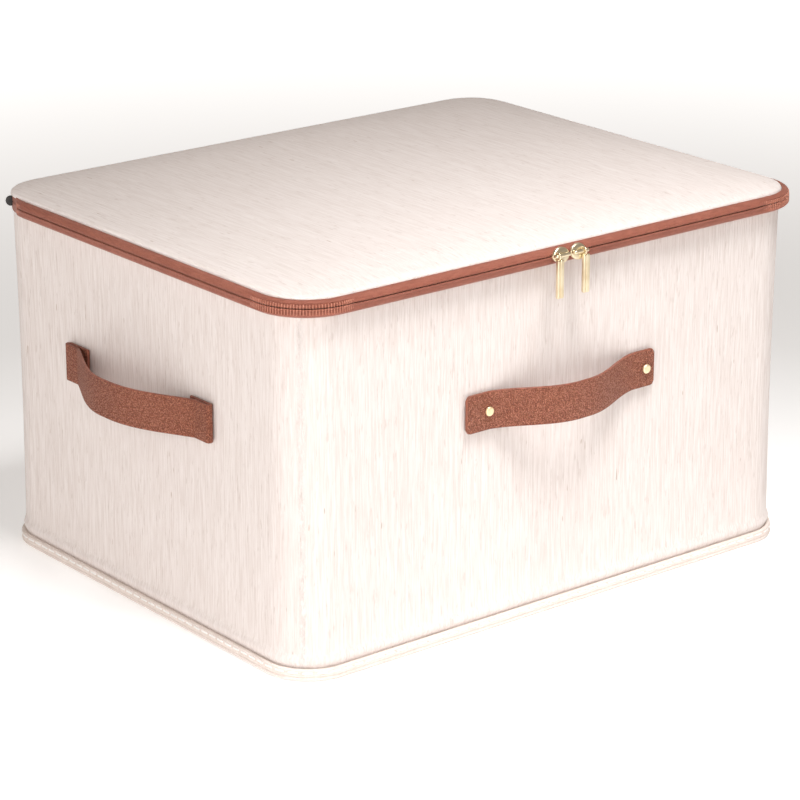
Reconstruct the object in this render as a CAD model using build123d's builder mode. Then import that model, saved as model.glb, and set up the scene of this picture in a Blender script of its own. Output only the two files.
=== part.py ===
"""A zipped fabric storage bin: stiff walls, a padded lid on a cloth hinge, two sliders and three handles.

The origin is the centre of the base's underside. +X is to the right, the front faces -Y and +Z is up.
Sizes are in millimetres. A profile's first number is how far it stands out from the wall's outer face.
"""

import os
from math import degrees

from build123d import *

# ---- driving sizes -------------------------------------------------------------------------------
width = 400.0  # across the front, over the wall cloth
depth = 318.0  # front to back, over the wall cloth
wall_height = 224.5  # top edge of the wall cloth
corner_radius = 29.0

cloth = 1.2  # outer cloth
board = 2.5  # stiffener boards
lining = 0.9  # inner cloth
layer_gap = 0.1  # between layers that lie on each other
board_gap = 0.5  # where two wall boards meet in a corner

hem_height = 7.5  # bound seam round the base
hem_stand = 3.0  # how far it stands out

nose_stand = 7.0  # how far the zip band stands out
tape = 0.9  # zip tape
zip_slot = 1.2  # between the two tapes' edges
lower_band = 5.8  # from the wall cloth's top to the slot
upper_band = 3.9  # from the slot to the lid's edge
coil_radius = 0.6
zip_turn = 45.0  # degrees the zip runs into each back corner
stop_radius = nose_stand * 3 / 7  # dark stops on the zip's ends
stop_length = 1.6
end_gap = 0.3  # between the tapes, the stops and the hinge cloth
lid_reach = 1.7  # where the upper tape meets the lid, outside the wall's face

hinge_stand = 4.0  # how far the cloth hinge stands out
hinge_skin = 0.4

lid_rise = 4.5  # the padded top above its edge
lid_slope = 22.0  # width of the padded slope
lid_foam_clear = 0.3

strap_width = 24.0
strap = 2.8
strap_length = 152.0
strap_bulge = 22.0  # how far the loop stands off
strap_foot = 23.5  # length of each end that lies flat
strap_top = 30.0  # length of the loop's flat middle
strap_height = 142.0  # centre line above the floor
strap_corner = 3.0
foot_radius = 12.0
loop_radius = 45.0
fold = 2.2  # the side straps' turned-under ends

rivet_cap = 6.0
rivet_cap_height = 1.5
rivet_post = 2.6
rivet_fit = 0.2  # round the post
rivet_inset_left = 16.8
rivet_inset_right = 7.5
washer = 8.0
washer_height = 0.8

slider_length = 13.2
slider_width = 8.4
slider_plate = 1.2
slider_tilt = 12.0
slider_lift = 0.8  # between the tapes' nose and the slider's front plate
slider_web = 0.7
slider_apart = 1.2  # between the two sliders when shut
meet_x = -2.4  # where they meet
bail_radius = 0.9
bail_height = 2.8  # its centre above the front plate
bail_length = 11.0

pull_length = 28.4
pull_width = 5.0
pull_thick = 2.6
pull_eye = 2.2
pull_offset = 3.1  # towards the bail's outer end

# ---- worked out ----------------------------------------------------------------------------------
half_w = width / 2
half_d = depth / 2
arc_x = half_w - corner_radius  # corner arcs' centres
arc_y = half_d - corner_radius
slot_low = wall_height + lower_band
slot_high = slot_low + zip_slot
slot_mid = slot_low + zip_slot / 2
lid_edge = slot_high + upper_band
base_floor = cloth + layer_gap + board + layer_gap + lining + layer_gap
board_out = -(cloth + layer_gap)  # the boards' outer face, from the wall's face
board_in = board_out - board
lining_out = board_in - layer_gap
lining_in = lining_out - lining

os.makedirs("parts", exist_ok=True)


def save(part, name):
    """Label a finished piece and write it."""
    part.label = name
    export_step(part, f"parts/{name}.step")


def outline(stand, mode=Mode.ADD):
    """The bin's rounded outline, this far outside the wall's face."""
    RectangleRounded(width + 2 * stand, depth + 2 * stand, corner_radius + stand, mode=mode)


def slab(stand, low, high):
    """A flat layer with the bin's outline."""
    with BuildPart() as layer:
        with BuildSketch(Plane.XY.offset(low)):
            outline(stand)
        extrude(amount=high - low)
    return layer.part


def ring(outer, inner, low, high):
    """A wall that follows the bin's outline."""
    with BuildPart() as wall:
        with BuildSketch(Plane.XY.offset(low)):
            outline(outer)
            outline(inner, mode=Mode.SUBTRACT)
        extrude(amount=high - low)
    return wall.part


def corner_plane(side, turn):
    """A plane across a back corner, this many degrees round from the side wall: its x points outwards."""
    angle = turn if side == "right" else 180 - turn
    out = Vector(1, 0, 0).rotate(Axis.Z, angle)
    spot = Vector(arc_x if side == "right" else -arc_x, arc_y, 0) + out * corner_radius
    return Plane(origin=spot, x_dir=out, z_dir=out.rotate(Axis.Z, -90))


def zip_route():
    """Clockwise from the right back corner, along the right side, the front and the left side."""
    with BuildLine() as route:
        CenterArc((arc_x, arc_y), corner_radius, zip_turn, -zip_turn)
        Line((half_w, arc_y), (half_w, -arc_y))
        CenterArc((arc_x, -arc_y), corner_radius, 0, -90)
        Line((arc_x, -half_d), (-arc_x, -half_d))
        CenterArc((-arc_x, -arc_y), corner_radius, -90, -90)
        Line((-half_w, -arc_y), (-half_w, arc_y))
        CenterArc((-arc_x, arc_y), corner_radius, 180, -zip_turn)
    return route.wires()[0]


def zip_run(points):
    """A profile of (stand, height) points carried along the zip."""
    with BuildPart() as run:
        with BuildSketch(corner_plane("right", zip_turn)):
            with BuildLine():
                Polyline(*points, close=True)
            make_face()
        sweep(path=zip_route())
    return run.part


def coil_run(stand, height):
    """A round zip coil carried along the zip."""
    with BuildPart() as run:
        with BuildSketch(corner_plane("right", zip_turn)):
            with Locations((stand, height)):
                Circle(coil_radius)
        sweep(path=zip_route())
    return run.part


def back_run(points):
    """The same profile, straight along the back between the corners."""
    with BuildPart() as run:
        with BuildSketch(Plane(origin=(-arc_x, half_d, 0), x_dir=(0, 1, 0), z_dir=(1, 0, 0))):
            with BuildLine():
                Polyline(*points, close=True)
            make_face()
        extrude(amount=2 * arc_x)
    return run.part


def gussets(points):
    """A profile carried round each back corner, from the zip's end to the hinge."""
    start = zip_turn + degrees((stop_length + 2 * end_gap) / corner_radius)
    with BuildPart() as pair:
        for side, first in (("left", 180 - start), ("right", 90)):
            with BuildLine() as route:
                CenterArc((-arc_x if side == "left" else arc_x, arc_y), corner_radius, first, start - 90)
            with BuildSketch(corner_plane(side, start if side == "left" else 90)):
                with BuildLine():
                    Polyline(*points, close=True)
                make_face()
            sweep(path=route.wires()[0])
    return pair.part


# ---- where the handles sit -----------------------------------------------------------------------
def wall_plane(side):
    """A plane on a wall: its x runs along the wall, its z points out of the bin."""
    places = {
        "front": ((0, -half_d, strap_height), (1, 0, 0), (0, -1, 0)),
        "left": ((-half_w, 0, strap_height), (0, -1, 0), (-1, 0, 0)),
        "right": ((half_w, 0, strap_height), (0, 1, 0), (1, 0, 0)),
    }
    origin, along, out = places[side]
    return Plane(origin=origin, x_dir=along, z_dir=out)


rivet_spots = (-strap_length / 2 + rivet_inset_left, strap_length / 2 - rivet_inset_right)
fold_spots = (-strap_length / 2 + strap_foot / 2, strap_length / 2 - strap_foot / 2)
spots = {"front": rivet_spots, "left": fold_spots, "right": fold_spots}


def post_holes(sides):
    """Cylinders that clear the rivet posts through the walls of the given sides."""
    with BuildPart() as holes:
        for side in sides:
            with BuildSketch(wall_plane(side).offset(cloth)):
                with Locations(*[(x, 0) for x in spots[side]]):
                    Circle(rivet_post / 2 + rivet_fit)
            extrude(amount=lining_in - 2 * cloth - washer_height)
    return holes.part


# ---- the bin's walls -----------------------------------------------------------------------------
outer_shell = ring(0, -cloth, cloth + layer_gap, wall_height) - post_holes(("front", "left", "right"))
save(outer_shell, "outer_shell")

reach = 2 * corner_radius  # past the wall, so each board takes half of its two corners
inner_x = arc_x - board_gap
inner_y = arc_y - board_gap
far_x = inner_x + reach
far_y = inner_y + reach
end_x = arc_x + reach
end_y = arc_y + reach
board_shapes = {
    "front_board": ((-inner_x, -arc_y), (-far_x, -end_y), (far_x, -end_y), (inner_x, -arc_y)),
    "back_board": ((-inner_x, arc_y), (-far_x, end_y), (far_x, end_y), (inner_x, arc_y)),
    "left_board": ((-arc_x, -inner_y), (-end_x, -far_y), (-end_x, far_y), (-arc_x, inner_y)),
    "right_board": ((arc_x, -inner_y), (end_x, -far_y), (end_x, far_y), (arc_x, inner_y)),
}
wall_holes = post_holes(("front", "left", "right"))
for name, corners in board_shapes.items():
    with BuildPart() as wall_board:
        with BuildSketch(Plane.XY.offset(base_floor)):
            outline(board_out)
            outline(board_in, mode=Mode.SUBTRACT)
            with BuildLine():
                Polyline(*corners, close=True)
            make_face(mode=Mode.INTERSECT)
        extrude(amount=wall_height - base_floor)
        add(wall_holes, mode=Mode.SUBTRACT)
    save(wall_board.part, name)

wall_lining = ring(lining_out, lining_in, base_floor, wall_height) - post_holes(("front", "left", "right"))
save(wall_lining, "wall_lining")

rim_low = wall_height + layer_gap
save(ring(board_out, lining_in - 0.4, rim_low, rim_low + 1.5), "rim_binding")

# ---- the base ------------------------------------------------------------------------------------
save(slab(0, 0, cloth), "base_cover")
board_floor = cloth + layer_gap
save(slab(board_out, board_floor, board_floor + board), "base_board")
lining_floor = board_floor + board + layer_gap
save(slab(board_out, lining_floor, lining_floor + lining), "base_lining")

with BuildPart() as base_binding:
    with BuildSketch():
        outline(hem_stand)
        outline(layer_gap, mode=Mode.SUBTRACT)
    extrude(amount=hem_height)
    top_face = base_binding.faces().sort_by(Axis.Z)[-1]
    fillet(top_face.outer_wire().edges(), radius=1.4)
save(base_binding.part, "base_binding")

# ---- the zip band --------------------------------------------------------------------------------
nose = nose_stand
foot_low = wall_height + layer_gap
lower_profile = (
    (-cloth, foot_low),
    (0, foot_low),
    (nose - 3.4, slot_low - 5.0),
    (nose - 1.2, slot_low - 3.6),
    (nose - 0.2, slot_low - 1.8),
    (nose, slot_low),
    (nose - tape, slot_low),
    (nose - 0.2 - tape, slot_low - 1.6),
    (nose - 2.0, slot_low - 3.0),
    (nose - 4.0, slot_low - 4.1),
    (-0.2, foot_low + tape),
    (-cloth, foot_low + tape),
)
upper_profile = (
    (nose, slot_high),
    (nose - 0.3, slot_high + 1.2),
    (nose - 1.6, slot_high + 2.7),
    (nose - 3.4, slot_high + 3.6),
    (lid_reach, lid_edge),
    (lid_reach, lid_edge - tape),
    (nose - 3.8, slot_high + 2.7),
    (nose - 2.3, slot_high + 1.9),
    (nose - 1.3, slot_high + 0.8),
    (nose - tape, slot_high),
)
save(zip_run(lower_profile), "lower_tape")
save(zip_run(upper_profile), "upper_tape")
coil_stand = nose - 2.6
save(coil_run(coil_stand, slot_low - coil_radius - 0.05), "lower_coil")
save(coil_run(coil_stand, slot_high + coil_radius + 0.05), "upper_coil")

flat_out = lid_reach + 0.5  # the hinge cloth lies flatter round the corners
lower_hinge = (
    (-cloth, foot_low),
    (0, foot_low),
    (hinge_stand, slot_low - 0.4),
    (hinge_stand, slot_low),
    (hinge_stand - tape, slot_low),
    (-0.3, foot_low + tape),
    (-cloth, foot_low + tape),
)
lower_gusset = (
    (-cloth, foot_low),
    (0, foot_low),
    (flat_out, foot_low + 1.4),
    (flat_out, slot_low),
    (flat_out - tape, slot_low),
    (flat_out - tape, foot_low + 1.9),
    (-0.3, foot_low + tape),
    (-cloth, foot_low + tape),
)
upper_hinge = (
    (hinge_stand, slot_high),
    (hinge_stand, slot_high + 0.4),
    (lid_reach, lid_edge),
    (lid_reach, lid_edge - tape),
    (hinge_stand - tape, slot_high),
)
upper_gusset = (
    (flat_out, slot_high),
    (flat_out, lid_edge - 0.4),
    (lid_reach, lid_edge),
    (lid_reach, lid_edge - tape),
    (flat_out - tape, slot_high),
)
save(back_run(lower_hinge) + gussets(lower_gusset), "hinge_tape_lower")
save(back_run(upper_hinge) + gussets(upper_gusset), "hinge_tape_upper")

fold_in = hinge_stand + 0.05
hinge_profile = (
    (fold_in, slot_low - 0.4),
    (fold_in + hinge_skin, slot_low - 0.4),
    (fold_in + hinge_skin, slot_high + 0.4),
    (fold_in, slot_high + 0.4),
)
save(back_run(hinge_profile), "hinge_fold")

stop_stand = nose - 0.1 - stop_radius
for side in ("left", "right"):
    plane = corner_plane(side, zip_turn)
    first = end_gap if side == "left" else -end_gap
    length = stop_length if side == "left" else -stop_length
    lower_half = ("zip_stop", slot_low - stop_radius, slot_low)
    upper_half = ("lid_stop", slot_high, slot_high + stop_radius)
    for name, low, high in (lower_half, upper_half):
        with BuildPart() as zip_stop:
            with BuildSketch(plane.offset(first)):
                with Locations((stop_stand, slot_mid)):
                    Circle(stop_radius)
                with Locations((stop_stand, (low + high) / 2)):
                    Rectangle(4 * stop_radius, high - low, mode=Mode.INTERSECT)
            extrude(amount=length)
        save(zip_stop.part, f"{name}_{side}")

# ---- the lid -------------------------------------------------------------------------------------
def cushion(stand, low, high, slope):
    """A low padded form: the bin's outline, drawn in towards its top."""
    with BuildPart() as form:
        with BuildSketch(Plane.XY.offset(low)):
            outline(stand)
        with BuildSketch(Plane.XY.offset((low + 2 * high) / 3)):
            outline(stand - slope / 3)
        loft()
        with BuildSketch(Plane.XY.offset((low + 2 * high) / 3)):
            outline(stand - slope / 3)
        with BuildSketch(Plane.XY.offset(high)):
            outline(stand - slope)
        loft()
    return form.part


lid_out = lid_reach - layer_gap
lid_low = lid_edge - tape + layer_gap
lid_top = lid_edge + lid_rise
foam_out = lid_out - cloth - lid_foam_clear
foam_top = lid_top - cloth - lid_foam_clear
foam = cushion(foam_out, lid_low, foam_top, lid_slope)
cavity = cushion(lid_out - cloth, lid_low - layer_gap, lid_top - cloth, lid_slope)
save(cushion(lid_out, lid_low, lid_top, lid_slope) - cavity, "lid_cover")
save(foam, "lid_padding")

lid_board_high = lid_low - layer_gap
lid_board_low = lid_board_high - board
bead = 2.0
lid_binding_out = lid_out - 1.4
lid_binding_in = lid_binding_out - bead
save(ring(lid_binding_out, lid_binding_in, lid_board_low, lid_board_high), "lid_binding")
save(slab(lid_binding_in - layer_gap, lid_board_low, lid_board_high), "lid_board")
lid_lining_high = lid_board_low - layer_gap
save(slab(lid_binding_in - layer_gap, lid_lining_high - lining, lid_lining_high), "lid_lining")


# ---- handles -------------------------------------------------------------------------------------
def strap_solid(side, lift):
    """A strap that lies flat at both ends and stands off the wall between them."""
    plane = wall_plane(side)
    low = lift + strap / 2
    foot_end = strap_length / 2 - strap_foot
    with BuildPart() as handle:
        with BuildLine(Plane(origin=plane.origin, x_dir=plane.x_dir, z_dir=(0, 0, -1))) as route:
            FilletPolyline(
                (-strap_length / 2, low),
                (-foot_end, low),
                (-strap_top / 2, strap_bulge + low),
                (strap_top / 2, strap_bulge + low),
                (foot_end, low),
                (strap_length / 2, low),
                radius=(foot_radius, loop_radius, loop_radius, foot_radius),
            )
        course = route.wires()[0]
        with BuildSketch(Plane(origin=course @ 0, x_dir=(0, 0, 1), z_dir=course % 0)):
            Rectangle(strap_width, strap)
        sweep(path=course)
        ends = handle.edges().filter_by(Axis(plane.origin, plane.z_dir))
        fillet(ends, radius=strap_corner)
    return handle.part


for side in ("front", "left", "right"):
    plane = wall_plane(side)
    folded = side != "front"
    lift = layer_gap + (fold if folded else 0)
    handle = strap_solid(side, lift)
    with BuildPart() as strap_part:
        add(handle)
        if folded:
            for end in (-1, 1):
                with BuildSketch(plane.offset(layer_gap)):
                    with Locations((end * (strap_length - strap_foot) / 2, 0)):
                        RectangleRounded(strap_foot, strap_width, strap_corner)
                extrude(amount=fold)
        with BuildSketch(plane):
            with Locations(*[(x, 0) for x in spots[side]]):
                Circle(rivet_post / 2 + rivet_fit)
        extrude(amount=fold + layer_gap if folded else strap + 1, mode=Mode.SUBTRACT)
        if folded:
            with BuildSketch(plane.offset(layer_gap + fold - rivet_cap_height)):
                with Locations(*[(x, 0) for x in spots[side]]):
                    Circle(rivet_cap / 2 + rivet_fit)
            extrude(amount=rivet_cap_height, mode=Mode.SUBTRACT)
    save(strap_part.part, f"{side}_handle")

    cap_low = layer_gap + fold - rivet_cap_height + 0.02 if folded else layer_gap + strap + 0.02
    cap_height = rivet_cap_height - layer_gap if folded else rivet_cap_height
    for label, x in zip(("left", "right"), spots[side]):
        with BuildPart() as rivet:
            with BuildSketch(plane.offset(cap_low)):
                with Locations((x, 0)):
                    Circle(rivet_cap / 2)
            extrude(amount=cap_height)
            dome_edge = rivet.edges().sort_by(Axis(plane.origin, plane.z_dir))[-1]
            fillet(dome_edge, radius=cap_height * 0.7)
            with BuildSketch(plane.offset(cap_low)):
                with Locations((x, 0)):
                    Circle(rivet_post / 2)
            extrude(amount=-(cap_low - lining_in + layer_gap + washer_height))
        save(rivet.part, f"{side}_rivet_{label}")
    with BuildPart() as washers:
        with BuildSketch(plane.offset(lining_in - layer_gap)):
            with Locations(*[(x, 0) for x in spots[side]]):
                Circle(washer / 2)
                Circle(rivet_post / 2 + 0.02, mode=Mode.SUBTRACT)
        extrude(amount=-washer_height)
    save(washers.part, f"{side}_rivet_washers")


# ---- zip sliders and pulls -----------------------------------------------------------------------
def slider_plane(x):
    """The slider's own plane at the nose of the band: its z points up and out."""
    tilted = Plane(origin=(x, -half_d - nose, slot_mid), x_dir=(1, 0, 0), z_dir=(0, -1, 0))
    return tilted.rotated((-slider_tilt, 0, 0))


bail_axis = slider_lift + slider_plate + bail_height
for name, sign in (("left", -1), ("right", 1)):
    x = meet_x + sign * (slider_length + slider_apart) / 2
    plane = slider_plane(x)
    with BuildPart() as slider:
        with BuildSketch(plane.offset(slider_lift)):
            Ellipse(slider_length / 2, slider_width / 2)
        extrude(amount=slider_plate)
        fillet(slider.faces().sort_by(Axis(plane.origin, plane.z_dir))[-1].edges(), radius=0.5)
        web_out = nose + 1.3
        web_in = nose - 4.8
        web_y = -half_d - (web_out + web_in) / 2
        with Locations((x - sign * slider_length / 4, web_y, slot_mid)):
            Box(slider_length / 3, web_out - web_in, slider_web)
        with Locations((x, -half_d - web_in, slot_mid)):
            Box(slider_length - 2, 0.8, 4.0)
    save(slider.part, f"slider_{name}_body")

    bail_plane = Plane(origin=plane.from_local_coords((0, 0, bail_axis)), x_dir=(0, 0, 1), z_dir=(1, 0, 0))
    with BuildPart() as bail:
        with BuildSketch(bail_plane.offset(-bail_length / 2)):
            Circle(bail_radius)
        extrude(amount=bail_length)
        foot_low = slider_lift + slider_plate + 0.02
        for end in (-1, 1):
            with BuildSketch(plane.offset(foot_low)):
                with Locations((end * (bail_length / 2 - bail_radius * 0.6), 0)):
                    Rectangle(bail_radius * 1.2, bail_radius * 1.7)
            extrude(amount=bail_height)
    save(bail.part, f"slider_{name}_bail")

    hinge = bail_plane.origin
    pull_x = x + sign * pull_offset
    eye_in = bail_radius + 0.3
    eye_out = eye_in + 1.1
    bar_back = 0.4
    with BuildPart() as pull:
        eye_start = (pull_x - pull_eye / 2, hinge.Y, hinge.Z)
        with BuildSketch(Plane(origin=eye_start, x_dir=(0, 1, 0), z_dir=(1, 0, 0))):
            Circle(eye_out)
            with Locations((bar_back - pull_thick / 2, -eye_out)):
                Rectangle(pull_thick, eye_out)
            Circle(eye_in, mode=Mode.SUBTRACT)
        extrude(amount=pull_eye)
        bar_top = hinge.Z - eye_out - 0.6
        with BuildSketch(Plane.XY.offset(bar_top)):
            with Locations((pull_x, hinge.Y + bar_back - pull_thick / 2)):
                Rectangle(pull_width, pull_thick)
        extrude(amount=-(pull_length - 2 * eye_out))
        bar_edges = pull.edges().filter_by(lambda e: e.length > pull_length / 2).group_by(Axis.Y)[0]
        fillet(bar_edges, radius=0.5)
    save(pull.part, f"pull_{name}")
    print(f"pull_{name} hinge at", tuple(round(c, 3) for c in (pull_x, hinge.Y, hinge.Z)))
print("lid hinge at", half_d + fold_in + hinge_skin, slot_mid)
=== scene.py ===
import math
import bmesh
import bpy
from mathutils import Matrix, Vector


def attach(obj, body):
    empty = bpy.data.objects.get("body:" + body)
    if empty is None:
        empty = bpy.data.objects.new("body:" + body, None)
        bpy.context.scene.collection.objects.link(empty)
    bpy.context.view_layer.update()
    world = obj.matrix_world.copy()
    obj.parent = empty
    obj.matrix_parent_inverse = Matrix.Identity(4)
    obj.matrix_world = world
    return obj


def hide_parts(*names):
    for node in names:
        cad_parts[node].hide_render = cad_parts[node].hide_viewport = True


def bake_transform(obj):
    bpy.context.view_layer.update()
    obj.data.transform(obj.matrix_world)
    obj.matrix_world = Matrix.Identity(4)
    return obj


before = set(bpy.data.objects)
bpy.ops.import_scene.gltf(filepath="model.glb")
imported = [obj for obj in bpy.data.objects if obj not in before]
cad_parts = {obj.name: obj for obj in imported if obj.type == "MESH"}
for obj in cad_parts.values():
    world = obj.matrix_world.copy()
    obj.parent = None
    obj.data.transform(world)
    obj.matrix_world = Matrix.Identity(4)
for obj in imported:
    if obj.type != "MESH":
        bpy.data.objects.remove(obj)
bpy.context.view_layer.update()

mm = 0.001
binSize = {"width": 400 * mm, "depth": 318 * mm, "corner": 29 * mm, "arcSegments": 14, "zipTurn": 45}
arcX = binSize["width"] / 2 - binSize["corner"]
arcY = binSize["depth"] / 2 - binSize["corner"]
halfW = binSize["width"] / 2
halfD = binSize["depth"] / 2


# small helpers
def pick(piece):
    if bpy.context.mode != "OBJECT":
        bpy.ops.object.mode_set(mode="OBJECT")
    bpy.ops.object.select_all(action="DESELECT")
    if piece:
        piece.select_set(True)
        bpy.context.view_layer.objects.active = piece


def editing(piece):
    pick(piece)
    bpy.ops.object.mode_set(mode="EDIT")
    return bmesh.from_edit_mesh(piece.data)


def modify(piece, kind, **values):  # adds one modifier and applies it
    pick(piece)
    step = piece.modifiers.new(kind.title(), kind)
    for key, value in values.items():
        setattr(step, key, value)
    bpy.ops.object.modifier_apply(modifier=step.name)


def outwards(piece):
    editing(piece)
    bpy.ops.mesh.select_all(action="SELECT")
    bpy.ops.mesh.remove_doubles(threshold=0.00001)
    bpy.ops.mesh.normals_make_consistent(inside=False)
    pick(piece)


def settle(piece, name, body, finish, stands=(), angle=50):
    pick(piece)
    bpy.ops.object.transform_apply(location=True, rotation=True, scale=True)
    bpy.ops.object.shade_smooth_by_angle(angle=math.radians(angle))
    piece.name = piece.data.name = name
    if not piece.data.materials:
        piece.data.materials.append(finish)
    else:
        piece.data.materials[0] = finish
    if body:
        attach(piece, body)
    if stands:
        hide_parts(*stands)
    return piece


def bringTogether(pieces):
    pick(None)
    for one in pieces:
        one.select_set(True)
    bpy.context.view_layer.objects.active = pieces[0]
    bpy.ops.object.join()
    return bpy.context.view_layer.objects.active


def copies(model, places):  # each copy has a mesh of its own
    made = []
    for place in places:
        other = model.copy()
        other.data = model.data.copy()
        other.matrix_world = place
        bpy.context.collection.objects.link(other)
        made.append(other)
    bpy.data.objects.remove(model)
    whole = bringTogether(made)
    pick(whole)
    bpy.ops.object.transform_apply(location=True, rotation=True, scale=True)
    return whole


def coreAndNormal(point):  # the outline's nearest core point and its outward direction
    core = Vector((max(-arcX, min(arcX, point.x)), max(-arcY, min(arcY, point.y)), 0))
    out = Vector((point.x - core.x, point.y - core.y, 0))
    return core, out.normalized()


def standOff(point, stand, height):
    core, out = coreAndNormal(point)
    spot = core + out * (binSize["corner"] + stand)
    spot.z = height
    return spot


def outlineLoop(run="all", cuts=24):  # the bin's outline as a loop of edges, on the floor
    pick(None)
    bpy.ops.mesh.primitive_plane_add(size=1)
    loop = bpy.context.object
    loop.scale = (binSize["width"], binSize["depth"], 1)
    bpy.ops.object.transform_apply(scale=True)
    editing(loop)
    bpy.ops.mesh.select_all(action="SELECT")
    bpy.ops.mesh.bevel(offset=binSize["corner"], segments=binSize["arcSegments"], affect="VERTICES")
    bpy.ops.mesh.delete(type="ONLY_FACE")
    net = bmesh.from_edit_mesh(loop.data)
    for edge in net.edges:
        edge.select_set(edge.calc_length() > 0.05)
    bmesh.update_edit_mesh(loop.data)
    bpy.ops.mesh.subdivide(number_cuts=cuts)
    net = bmesh.from_edit_mesh(loop.data)
    if run != "all":
        turned = math.sin(math.radians(binSize["zipTurn"]))
        if run == "zip":
            away = [v for v in net.verts if coreAndNormal(v.co)[1].y > turned + 0.01]
        else:
            away = [v for v in net.verts if coreAndNormal(v.co)[1].y < turned + 0.01]
        bmesh.ops.delete(net, geom=away, context="VERTS")
    bmesh.update_edit_mesh(loop.data)
    pick(loop)
    return loop


# The outline carried along (stand, height) points
def wrapProfile(profile, run="all", cuts=24, closed=False, ends=False):
    loop = outlineLoop(run, cuts)
    net = editing(loop)
    bpy.ops.mesh.select_all(action="SELECT")
    for v in net.verts:
        v.co = standOff(v.co, *profile[0])
    for stand, height in profile[1:]:
        bpy.ops.mesh.extrude_region_move()
        net = bmesh.from_edit_mesh(loop.data)
        for v in net.verts:
            if v.select:
                v.co = standOff(v.co, stand, height)
        bmesh.update_edit_mesh(loop.data)
    if closed:
        bpy.ops.mesh.extrude_region_move()
        net = bmesh.from_edit_mesh(loop.data)
        for v in net.verts:
            if v.select:
                v.co = standOff(v.co, *profile[0])
        bmesh.update_edit_mesh(loop.data)
        bpy.ops.mesh.select_all(action="SELECT")
        bpy.ops.mesh.remove_doubles(threshold=0.00001)
        if ends:
            bpy.ops.mesh.select_all(action="DESELECT")
            bpy.ops.mesh.select_mode(type="EDGE")
            bpy.ops.mesh.select_non_manifold()
            bpy.ops.mesh.edge_face_add()
            bpy.ops.mesh.select_mode(type="VERT")
    pick(loop)
    return loop


def runPlaces(pitch, stand, height, run="all", lean=0):  # evenly spaced places round the outline
    straightX, straightY, quarter = 2 * arcX, 2 * arcY, binSize["corner"] * math.pi / 2
    legs = [("line", Vector((-arcX, -halfD, 0)), Vector((1, 0, 0)), straightX),
            ("arc", Vector((arcX, -arcY, 0)), -90, quarter),
            ("line", Vector((halfW, -arcY, 0)), Vector((0, 1, 0)), straightY),
            ("arc", Vector((arcX, arcY, 0)), 0, quarter),
            ("line", Vector((arcX, halfD, 0)), Vector((-1, 0, 0)), straightX),
            ("arc", Vector((-arcX, arcY, 0)), 90, quarter),
            ("line", Vector((-halfW, arcY, 0)), Vector((0, -1, 0)), straightY),
            ("arc", Vector((-arcX, -arcY, 0)), 180, quarter)]
    total = sum(leg[3] for leg in legs)
    count = round(total / pitch)
    places = []
    for i in range(count):
        far = (i + 0.5) * total / count
        for kind, start, way, length in legs:
            if far <= length:
                break
            far -= length
        if kind == "line":
            spot, along = start + way * far, way
        else:
            turn = math.radians(way) + far / binSize["corner"]
            spot = start + Vector((math.cos(turn), math.sin(turn), 0)) * binSize["corner"]
            along = Vector((-math.sin(turn), math.cos(turn), 0))
        out = coreAndNormal(spot)[1]
        if run == "zip" and out.y > math.sin(math.radians(binSize["zipTurn"] - 4)):
            continue
        spot = spot + out * (stand(spot) if callable(stand) else stand)
        spot.z = height
        place = Matrix((along, out, Vector((0, 0, 1)))).transposed().to_4x4()
        places.append(Matrix.Translation(spot) @ place @ Matrix.Rotation(lean, 4, "X"))
    return places


# finishes
class Recipe:  # a material's nodes, put together one by one
    def __init__(self, name, **shader):
        self.material = bpy.data.materials.new(name)
        self.material.use_nodes = True
        self.tree = self.material.node_tree
        self.shader = self.tree.nodes["Principled BSDF"]
        self.coords = self.tree.nodes.new("ShaderNodeTexCoord").outputs["Object"]
        for key, value in shader.items():
            self.shader.inputs[key.replace("_", " ")].default_value = value

    def put(self, node, key, value):
        if isinstance(value, bpy.types.NodeSocket):
            self.tree.links.new(value, node.inputs[key])
        else:
            node.inputs[key].default_value = value

    def add(self, kind, inputs=None, out=0, **settings):
        node = self.tree.nodes.new("ShaderNode" + kind)
        for key, value in settings.items():
            setattr(node, key, value)
        for key, value in (inputs or {}).items():
            self.put(node, key, value)
        return node.outputs[out]

    def stretched(self, x, y, z):
        return self.add("Mapping", {"Vector": self.coords, "Scale": (x, y, z)})

    def noise(self, vector, scale, detail=2.0, rough=0.5):
        return self.add("TexNoise", {"Vector": vector, "Scale": scale, "Detail": detail, "Roughness": rough})

    def ramp(self, value, low, high):
        return self.add("MapRange", {"Value": value, "From Min": low, "From Max": high})

    def math(self, how, a, b=0.0):
        node = self.tree.nodes.new("ShaderNodeMath")
        node.operation = how
        self.put(node, 0, a)
        self.put(node, 1, b)
        return node.outputs[0]

    def blend(self, factor, a, b, how="MIX"):
        node = self.tree.nodes.new("ShaderNodeMix")
        node.data_type, node.blend_type = "RGBA", how
        self.put(node, 0, factor)
        self.put(node, 6, a if isinstance(a, bpy.types.NodeSocket) else (*a, 1))
        self.put(node, 7, b if isinstance(b, bpy.types.NodeSocket) else (*b, 1))
        return node.outputs[2]

    def bump(self, height, distance, strength=1.0, under=None):
        inputs = {"Height": height, "Distance": distance, "Strength": strength}
        if under is not None:
            inputs["Normal"] = under
        return self.add("Bump", inputs)

    def done(self, colour=None, normal=None, roughness=None):
        for key, value in (("Base Color", colour), ("Normal", normal), ("Roughness", roughness)):
            if value is not None:
                self.put(self.shader, key, value)
        return self.material


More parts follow.
